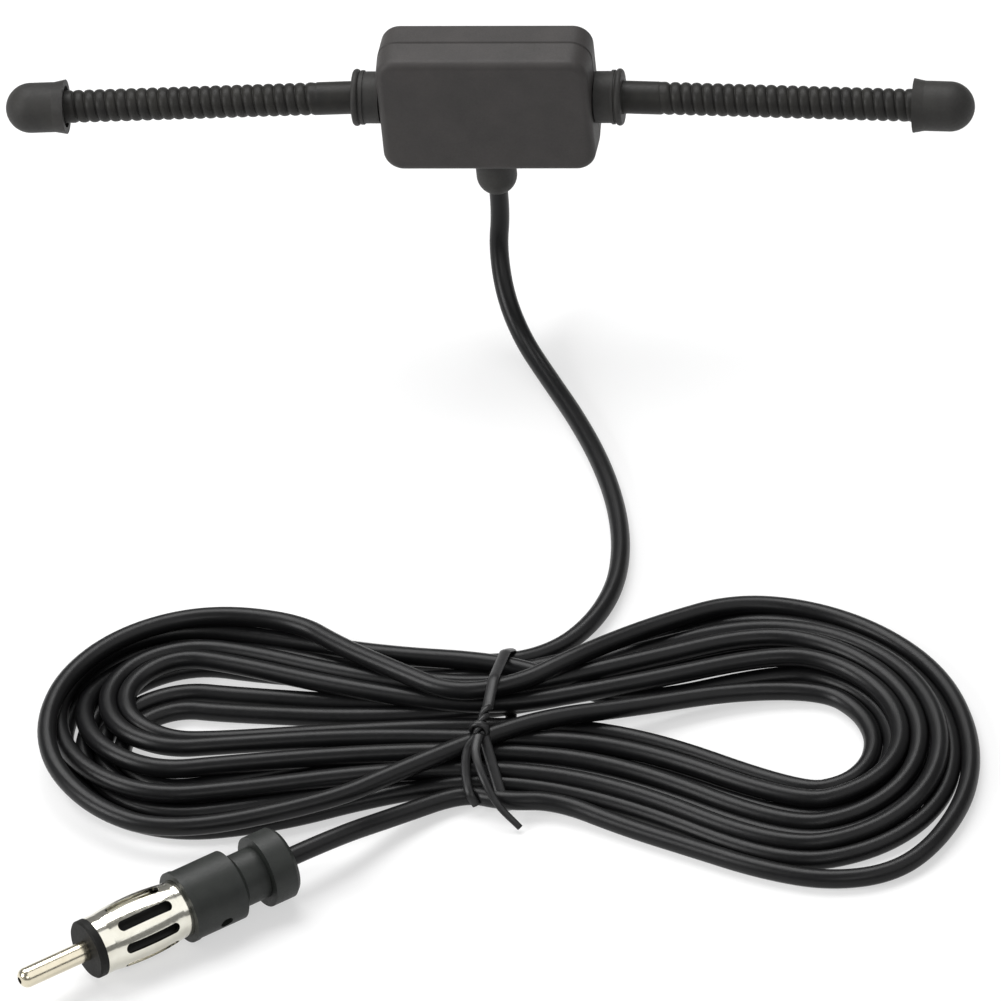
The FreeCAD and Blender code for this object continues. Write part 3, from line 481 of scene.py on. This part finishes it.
# %% Plated metals
def plated_metal(name, bright, tarnish, rough, wave_mm, depth_mm, scuff_mm):
    """A metal skin: faint waves bend its reflections, and fine scuffs dull it in places."""
    material = bpy.data.materials.new(name)
    material.use_nodes = True
    tree = material.node_tree
    shader = tree.nodes["Principled BSDF"]
    shader.inputs["Metallic"].default_value = 1.0
    place = add_node(tree, "ShaderNodeTexCoord").outputs["Object"]
    waves = add_node(tree, "ShaderNodeTexNoise", {
        "Vector": place, "Scale": per_metre(wave_mm), "Detail": 2.0})
    scuffs = add_node(tree, "ShaderNodeTexNoise", {
        "Vector": place, "Scale": per_metre(scuff_mm), "Detail": 5.0, "Roughness": 0.7})
    worn = add_node(tree, "ShaderNodeMapRange", {
        "Value": scuffs.outputs["Fac"], "From Min": 0.35, "From Max": 0.7,
        "To Min": rough[0], "To Max": rough[1]})
    tint = add_node(tree, "ShaderNodeMix", {
        "Factor": waves.outputs["Fac"], "A": colour(bright), "B": colour(tarnish)}, data_type="RGBA")
    bump = add_node(tree, "ShaderNodeBump", {
        "Height": waves.outputs["Fac"], "Strength": 0.5, "Distance": depth_mm * MM})
    tree.links.new(tint.outputs["Result"], shader.inputs["Base Color"])
    tree.links.new(worn.outputs["Result"], shader.inputs["Roughness"])
    tree.links.new(bump.outputs["Normal"], shader.inputs["Normal"])
    return material


bright_nickel = plated_metal("bright_nickel", "#e6e4da", "#d3d0c2", rough=(0.08, 0.2),
                             wave_mm=2.5, depth_mm=0.02, scuff_mm=0.6)
pin_nickel = plated_metal("pin_nickel", "#e3dcc8", "#cfc6ae", rough=(0.12, 0.26),
                          wave_mm=1.6, depth_mm=0.015, scuff_mm=0.5)
copper_wire = plated_metal("drawn_copper", "#c9825a", "#a8633f", rough=(0.2, 0.35),
                           wave_mm=1.0, depth_mm=0.005, scuff_mm=0.3)
bright_solder = plated_metal("bright_solder", "#c4c5c7", "#a9abae", rough=(0.18, 0.35),
                             wave_mm=0.6, depth_mm=0.01, scuff_mm=0.3)

node_finishes = {
    housing_abs: ["front_shell", "rear_shell"],
    soft_rubber: ["left_arm_grommet", "right_arm_grommet", "left_arm_cap", "right_arm_cap", "cable_grommet"],
    shrunk_sleeve: ["left_arm_sleeve", "right_arm_sleeve"],
    cable_pvc: ["cable_box_end", "cable_lead", "cable_hank", "cable_tail", "cable_plug_end"],
    tie_skin: ["twist_tie"],
    plug_nylon: ["plug_body", "plug_cap"],
    insulator_black: ["plug_insulator"],
    foam_pad: ["adhesive_pad"],
    board_lacquer: ["circuit_board"],
    ferrite_grey: ["coil_core"],
    chip_ceramic: ["chip_parts"],
    nylon_rod: ["left_arm_core", "right_arm_core"],
    bright_nickel: ["plug_barrel", "plug_ferrule"],
    pin_nickel: ["plug_pin"],
    copper_wire: ["coil_winding", "left_arm_winding", "right_arm_winding", "left_arm_lead", "right_arm_lead",
                  "cable_conductor", "plug_conductor"],
    bright_solder: ["solder_joints"],
}
for finish, names in node_finishes.items():
    for name in names:
        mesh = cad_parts[name].data
        mesh.materials.clear()
        mesh.materials.append(finish)
print("finishes:", len(node_finishes))


# %% [markdown]
# ## Ribbed sleeves
# Under each sleeve lies a close winding of wire, and the shrunk plastic shows it as a helical rib. The rib
# follows a rule, so Geometry Nodes make it: a flat grid is rolled into a tube, and its radius dips in a
# narrow valley once a turn. Beside the collar the sleeve lies on the bare core and stays plain.

# %% Sleeve tree
SLEEVE_RADIUS = 2.6
RIB_DEPTH = 0.6
RIB_PITCH = 1.68
RIB_COUNT = 24
SLEEVE_PLAIN = 5.4
SLEEVE_SOCKET = 1.7
SLEEVE_IN_CAP = 4.4
SLEEVE_LENGTH = SLEEVE_SOCKET + SLEEVE_PLAIN + RIB_PITCH * RIB_COUNT + SLEEVE_IN_CAP
SLEEVE_STEPS, SLEEVE_SIDES = 640, 45
CREST_POWER = 0.36
WELD = 0.01


def sleeve_tree():
    """Geometry Nodes that roll a grid into a ribbed tube along X."""
    tree = bpy.data.node_groups.new("ribbed_sleeve", "GeometryNodeTree")
    for name in ("Length", "Radius", "Rib Depth", "Rib Pitch", "Ribs Start", "Ribs End"):
        tree.interface.new_socket(name, in_out="INPUT", socket_type="NodeSocketFloat")
    tree.interface.new_socket("Geometry", in_out="OUTPUT", socket_type="NodeSocketGeometry")
    sizes = add_node(tree, "NodeGroupInput").outputs

    def calculate(operation, *values):
        return add_node(tree, "ShaderNodeMath", dict(enumerate(values)), operation=operation).outputs[0]

    grid = add_node(tree, "GeometryNodeMeshGrid", {
        "Size X": sizes["Length"], "Size Y": 2 * math.pi,
        "Vertices X": SLEEVE_STEPS, "Vertices Y": SLEEVE_SIDES})
    flat = add_node(tree, "ShaderNodeSeparateXYZ", {
        "Vector": add_node(tree, "GeometryNodeInputPosition").outputs["Position"]}).outputs
    along = calculate("ADD", flat["X"], calculate("DIVIDE", sizes["Length"], 2.0))
    turns_round = calculate("DIVIDE", flat["Y"], 2 * math.pi)
    ribs_along = calculate("DIVIDE", calculate("SUBTRACT", along, sizes["Ribs Start"]), sizes["Rib Pitch"])
    phase = calculate("MULTIPLY", calculate("SUBTRACT", ribs_along, turns_round), math.pi)
    crest = calculate("POWER", calculate("ABSOLUTE", calculate("SINE", phase)), CREST_POWER)
    grow = add_node(tree, "ShaderNodeMapRange", {
        "Value": along, "From Min": sizes["Ribs Start"],
        "From Max": calculate("ADD", sizes["Ribs Start"], sizes["Rib Pitch"])},
        interpolation_type="SMOOTHSTEP").outputs["Result"]
    fade = add_node(tree, "ShaderNodeMapRange", {
        "Value": along, "From Min": calculate("SUBTRACT", sizes["Ribs End"], sizes["Rib Pitch"]),
        "From Max": sizes["Ribs End"], "To Min": 1.0, "To Max": 0.0},
        interpolation_type="SMOOTHSTEP").outputs["Result"]
    valley = calculate("MULTIPLY", calculate("SUBTRACT", 1.0, crest), calculate("MULTIPLY", grow, fade))
    radius = calculate("SUBTRACT", sizes["Radius"], calculate("MULTIPLY", valley, sizes["Rib Depth"]))
    rolled = add_node(tree, "ShaderNodeCombineXYZ", {
        "X": along, "Y": calculate("MULTIPLY", radius, calculate("COSINE", flat["Y"])),
        "Z": calculate("MULTIPLY", radius, calculate("SINE", flat["Y"]))}).outputs["Vector"]
    tube = add_node(tree, "GeometryNodeSetPosition", {
        "Geometry": grid.outputs["Mesh"], "Position": rolled})
    closed = add_node(tree, "GeometryNodeMergeByDistance", {
        "Geometry": tube.outputs[0], "Distance": WELD * MM})
    smooth = add_node(tree, "GeometryNodeSetShadeSmooth", {"Geometry": closed.outputs[0]})
    whole = add_node(tree, "GeometryNodeRealizeInstances", {"Geometry": smooth.outputs[0]})
    dressed = add_node(tree, "GeometryNodeSetMaterial", {
        "Geometry": whole.outputs[0], "Material": shrunk_sleeve})
    add_node(tree, "NodeGroupOutput", {"Geometry": dressed.outputs[0]})
    return tree


def plain_mesh(name, tree, sizes):
    """Run a tree with these sizes and return its result as a plain mesh."""
    carrier = bpy.data.objects.new(name, bpy.data.meshes.new(name))
    scene.collection.objects.link(carrier)
    modifier = carrier.modifiers.new("tree", "NODES")
    modifier.node_group = tree
    identifiers = {item.name: item.identifier for item in tree.interface.items_tree
                   if item.in_out == "INPUT"}
    for size, value in sizes.items():
        modifier[identifiers[size]] = value
    result = carrier.evaluated_get(bpy.context.evaluated_depsgraph_get())
    mesh = bpy.data.meshes.new_from_object(result)
    bpy.data.objects.remove(carrier)
    return mesh


def close_ends(mesh):
    """Fill the open ends of a tube and point all faces outwards."""
    work = bmesh.new()
    work.from_mesh(mesh)
    bmesh.ops.holes_fill(work, edges=[edge for edge in work.edges if edge.is_boundary])
    bmesh.ops.recalc_face_normals(work, faces=work.faces)
    work.to_mesh(mesh)
    work.free()


# %% Place the sleeves
ARM_MOUTH_X = 21.3
ARM_Y = -6.4
ARM_DROOP = 2.2

ribbed = sleeve_tree()
for side, name in ((-1, "left"), (1, "right")):
    mesh = plain_mesh(f"{name}_sleeve", ribbed, {
        "Length": SLEEVE_LENGTH * MM,
        "Radius": SLEEVE_RADIUS * MM,
        "Rib Depth": RIB_DEPTH * MM,
        "Rib Pitch": RIB_PITCH * MM,
        "Ribs Start": (SLEEVE_SOCKET + SLEEVE_PLAIN) * MM,
        "Ribs End": (SLEEVE_LENGTH - SLEEVE_IN_CAP) * MM,
    })
    droop = Matrix.Rotation(math.radians(ARM_DROOP) * side, 4, "Y")
    face_out = Matrix.Rotation(0 if side > 0 else math.pi, 4, "Z")
    mouth = Matrix.Translation(Vector((ARM_MOUTH_X * side, ARM_Y, 0)) * MM)
    start = Matrix.Translation(Vector((-SLEEVE_SOCKET, 0, 0)) * MM)
    mesh.transform(mouth @ droop @ face_out @ start)
    close_ends(mesh)
    sleeve = bpy.data.objects.new(f"{name}_ribbed_sleeve", mesh)
    scene.collection.objects.link(sleeve)
    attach(sleeve, "root")
    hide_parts(f"{name}_arm_sleeve")
print("triangles in each sleeve:", sum(len(face.vertices) - 2 for face in mesh.polygons))


# %% [markdown]
# ## Twist tie
# A tie is steel wire in a flat plastic skin. It goes once round the bundle, so its path is the outline that
# a tight band takes round the strands: the convex hull of their sections. On top its two ends are twisted
# together and then part: one lies down the front, the other stands off.

# %% Strip along a path
OVAL_POINTS = 12


def strip(path, outward, width, thickness):
    """Vertices and faces of a strip with an oval section, whose flat side faces outward. Millimetres."""
    path = np.asarray(path, float)
    tangent = np.gradient(path, axis=0)
    tangent /= np.linalg.norm(tangent, axis=1)[:, None]
    across = np.cross(tangent, np.broadcast_to(outward, path.shape))
    across /= np.linalg.norm(across, axis=1)[:, None]
    face = np.cross(across, tangent)
    half_width = (np.ones(len(path)) * width / 2)[:, None]
    half_thickness = (np.ones(len(path)) * thickness / 2)[:, None]
    rings = [path + across * half_width * math.cos(angle) + face * half_thickness * math.sin(angle)
             for angle in np.linspace(0, 2 * math.pi, OVAL_POINTS, endpoint=False)]
    vertices = np.stack(rings, axis=1).reshape(-1, 3)
    faces = [tuple(range(OVAL_POINTS)), tuple(range(len(vertices) - OVAL_POINTS, len(vertices)))]
    for ring in range(len(path) - 1):
        for corner in range(OVAL_POINTS):
            following = (corner + 1) % OVAL_POINTS
            low, high = ring * OVAL_POINTS, (ring + 1) * OVAL_POINTS
            faces.append((low + corner, low + following, high + following, high + corner))
    return vertices, faces


def smooth_path(points, count):
    """A curve through a few points, at even steps between them."""
    points = np.asarray(points, float)
    padded = np.vstack([2 * points[0] - points[1], points, 2 * points[-1] - points[-2]])
    path = []
    for step in np.linspace(0, len(points) - 1, count):
        run = min(int(step), len(points) - 2)
        t = step - run
        a, b, c, d = padded[run:run + 4]
        path.append(((2 * b) + (c - a) * t + (2 * a - 5 * b + 4 * c - d) * t ** 2
                     + (3 * b - a - 3 * c + d) * t ** 3) / 2)
    return np.array(path)


def convex_hull(points):
    """Outline round a set of points, counter-clockwise."""
    points = sorted(map(tuple, points))

    def chain(sequence):
        kept = []
        for x, y in sequence:
            while len(kept) > 1 and ((kept[-1][0] - kept[-2][0]) * (y - kept[-2][1])
                                     <= (kept[-1][1] - kept[-2][1]) * (x - kept[-2][0])):
                kept.pop()
            kept.append((x, y))
        return kept[:-1]

    return np.array(chain(points) + chain(reversed(points)))


# %% Band round the bundle
TIE_WIDTH = 1.8
TIE_THICKNESS = 0.8
KNOT_Y = -124.0
BAND_POINTS = 120
ROUND_POINTS = 24
HANK_REACH = 20

ahead = cable_line[1:] / MM
behind = cable_line[:-1] / MM
passes = (ahead[:, 0] - WAIST[0]) * (behind[:, 0] - WAIST[0]) <= 0
strands = ahead[passes & (ahead[:, 1] < WAIST[1] + HANK_REACH)][:, 1:]
clear = (CABLE_DIAMETER + TIE_THICKNESS) / 2
angles = np.linspace(0, 2 * math.pi, ROUND_POINTS, endpoint=False)
around = clear * np.stack([np.cos(angles), np.sin(angles)], axis=1)
outline = convex_hull((strands[:, None] + around[None]).reshape(-1, 2))
# Underneath, the band lies on the surface.
outline[:, 1] = np.maximum(outline[:, 1], SURFACE + TIE_THICKNESS / 2)
# From the knot the band goes over the rear edge, underneath, and up the front edge.
on_top = outline[:, 1] > strands[:, 1].mean()
knot = np.where(on_top, np.abs(outline[:, 0] - KNOT_Y), np.inf).argmin()
outline = np.roll(outline[::-1], knot + 1, axis=0)
loop = np.vstack([outline, outline[:1]])
along_loop = np.concatenate([[0], np.cumsum(np.linalg.norm(np.diff(loop, axis=0), axis=1))])


def on_band(shares, x):
    """Points on the band's path, as shares of one round from the knot, at these places along X."""
    way = np.asarray(shares, float) * along_loop[-1]
    return np.stack([np.broadcast_to(x, way.shape), np.interp(way, along_loop, loop[:, 0]),
                     np.interp(way, along_loop, loop[:, 1])], axis=1)


print("strands in the tie:", len(strands), "- once round:", round(along_loop[-1], 1), "mm")


# %% Band, twist and loose ends
# The band leans: its front leg stands further to the right than its top.
BAND_SHARES = (0.07, 0.25, 0.4, 0.6, 0.83, 1.0)
BAND_X = (9.1, 9.7, 10.2, 11.5, 13.4, 9.0)
TWIST_TURNS = 1.5
TWIST_WIRE = 1.1
TWIST_POINTS = 48
TWIST_FRONT_X = 8.4
CURL_RADIUS = 1.25
CURL_POINTS = 28
CURL_ANGLES = (-35, 215)
CURL_RISE = 0.35
LYING_SHARES = (0.975, 0.945, 0.91, 0.875, 0.85)
LYING_X = (6.9, 6.5, 6.7, 7.4, 8.4)
LYING_WIDTH = 1.5
STANDING_POINTS = [(8.3, -128.2, -33.9), (9.9, -132.4, -35.8), (12.2, -135.2, -38.6), (15.6, -137.4, -41.3)]
STANDING_WIDTHS = (1.6, 1.0)
END_POINTS = 48

shares = np.linspace(BAND_SHARES[0], 1.0, BAND_POINTS)
band = on_band(shares, np.interp(shares, BAND_SHARES, BAND_X))
forward = np.gradient(band, axis=0)
away = np.stack([np.zeros(BAND_POINTS), -forward[:, 2], forward[:, 1]], axis=1)
pieces = [strip(band, away, TIE_WIDTH, TIE_THICKNESS)]

# Two wires wind round each other from the band's start to the knot, and one curls over the knot.
twist_rear = on_band(BAND_SHARES[:1], BAND_X[0])[0] + (0, 0, 0.3)
twist_front = on_band([0.0], TWIST_FRONT_X)[0] + (0, -0.6, 0.5)
for first in (0.0, math.pi):
    turn = np.linspace(first, first + TWIST_TURNS * 2 * math.pi, TWIST_POINTS)
    wind = np.stack([np.cos(turn), np.zeros(TWIST_POINTS), np.sin(turn)], axis=1)
    axis = twist_rear + np.linspace(0, 1, TWIST_POINTS)[:, None] * (twist_front - twist_rear)
    pieces.append(strip(axis + wind * TWIST_WIRE * 0.45, wind, TWIST_WIRE, TWIST_WIRE * 0.8))
turn = np.radians(np.linspace(*CURL_ANGLES, CURL_POINTS))
wind = np.stack([np.cos(turn), np.linspace(-CURL_RISE, CURL_RISE, CURL_POINTS), np.sin(turn)], axis=1)
pieces.append(strip(twist_front + (0, 1.2, -0.1) + wind * CURL_RADIUS, wind,
                    TWIST_WIRE * 1.2, TWIST_WIRE * 0.8))

path = smooth_path(np.vstack([[twist_front], on_band(LYING_SHARES, LYING_X)]), END_POINTS)
bundle_middle = path[:, :1] * (1, 0, 0) + (0, WAIST[1], LYING)
pieces.append(strip(path, path - bundle_middle, LYING_WIDTH, TIE_THICKNESS))

path = smooth_path([twist_front, *STANDING_POINTS], END_POINTS)
pieces.append(strip(path, (0, -0.6, 0.8), np.linspace(*STANDING_WIDTHS, END_POINTS), TIE_THICKNESS))

vertices, faces = [], []
for piece_vertices, piece_faces in pieces:
    faces.extend(tuple(corner + len(vertices) for corner in face) for face in piece_faces)
    vertices.extend(piece_vertices * MM)
tie_mesh = bpy.data.meshes.new("tie")
tie_mesh.from_pydata(vertices, [], faces)
close_ends(tie_mesh)
tie_mesh.shade_smooth()
tie_mesh.materials.append(tie_skin)
tie = bpy.data.objects.new("wire_tie", tie_mesh)
scene.collection.objects.link(tie)
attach(tie, "root")
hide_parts("twist_tie")
print("tie faces:", len(faces))


# %% [markdown]
# The cable stands for the plain solids of its free stretches and of the hank. The tie goes with it.

cable_curve.materials.append(cable_pvc)
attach(cable, "root")
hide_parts("cable_lead", "cable_hank", "cable_tail")


# %% [markdown]
# ## Floor and light
# A plain pale floor carries the cable. It shows itself almost white to the camera and to mirrors, and
# keeps a soft shadow. Large soft lamps stand above, at the left and in front, so that black plastic shows
# its form by broad, gentle highlights.

# %% Floor
FLOOR_SIZE = 6.0
FLOOR_GAP = 0.03
GLOW_SHARE = 0.55
floor_mesh = bpy.data.meshes.new("floor")
half = FLOOR_SIZE / 2
floor_z = (SURFACE - FLOOR_GAP) * MM
floor_mesh.from_pydata([(-half, -half, floor_z), (half, -half, floor_z), (half, half, floor_z),
                        (-half, half, floor_z)], [], [(0, 1, 2, 3)])
floor = bpy.data.objects.new("floor", floor_mesh)
scene.collection.objects.link(floor)

paper = bpy.data.materials.new("white_paper")
paper.use_nodes = True
tree = paper.node_tree
shader = tree.nodes["Principled BSDF"]
shader.inputs["Base Color"].default_value = colour("#f2f2f2")
shader.inputs["Roughness"].default_value = 0.9
shader.inputs["Specular IOR Level"].default_value = 0.1
rays = add_node(tree, "ShaderNodeLightPath").outputs
mirrored = add_node(tree, "ShaderNodeMath", {
    0: rays["Is Camera Ray"], 1: rays["Is Glossy Ray"]}, operation="ADD")
seen = add_node(tree, "ShaderNodeMath", {
    0: mirrored.outputs[0], 1: rays["Is Transmission Ray"]}, operation="ADD", use_clamp=True)
glowing = add_node(tree, "ShaderNodeMath", {0: seen.outputs[0], 1: GLOW_SHARE}, operation="MULTIPLY")
glow = add_node(tree, "ShaderNodeEmission", {"Color": (1, 1, 1, 1), "Strength": 1.0})
blend = add_node(tree, "ShaderNodeMixShader", {
    0: glowing.outputs[0], 1: shader.outputs[0], 2: glow.outputs[0]})
tree.links.new(blend.outputs[0], tree.nodes["Material Output"].inputs["Surface"])
floor_mesh.materials.append(paper)
print("floor:", FLOOR_SIZE, "m square")

# %% Lamps
SUBJECT = Vector((0.0, -80.0, -30.0)) * MM
WORLD_STRENGTH = 0.25


def softbox(name, place, width, height, watts):
    """A rectangular lamp that faces the subject. Metres and watts."""
    lamp = bpy.data.lights.new(name, "AREA")
    lamp.shape = "RECTANGLE"
    lamp.size = width
    lamp.size_y = height
    lamp.energy = watts
    stand = bpy.data.objects.new(name, lamp)
    stand.location = place
    stand.rotation_euler = (SUBJECT - Vector(place)).to_track_quat("-Z", "Y").to_euler()
    scene.collection.objects.link(stand)
    return stand


softbox("top_light", (-0.2, 0.35, 0.85), width=1.0, height=0.6, watts=11.5)
softbox("left_light", (-0.8, -0.45, 0.45), width=0.4, height=0.5, watts=6.0)
softbox("front_light", (0.2, -1.1, 0.7), width=0.6, height=0.4, watts=2.2)
# A white board at the right is seen only in reflections: it makes the nickel bright.
board = softbox("right_board", (0.6, -0.33, 0.66), width=1.0, height=1.0, watts=3.4)
board.visible_diffuse = False

world = bpy.data.worlds.new("studio")
world.use_nodes = True
background = world.node_tree.nodes["Background"]
background.inputs["Color"].default_value = (1, 1, 1, 1)
background.inputs["Strength"].default_value = WORLD_STRENGTH
scene.world = world
print("lamps:", len(bpy.data.lights))
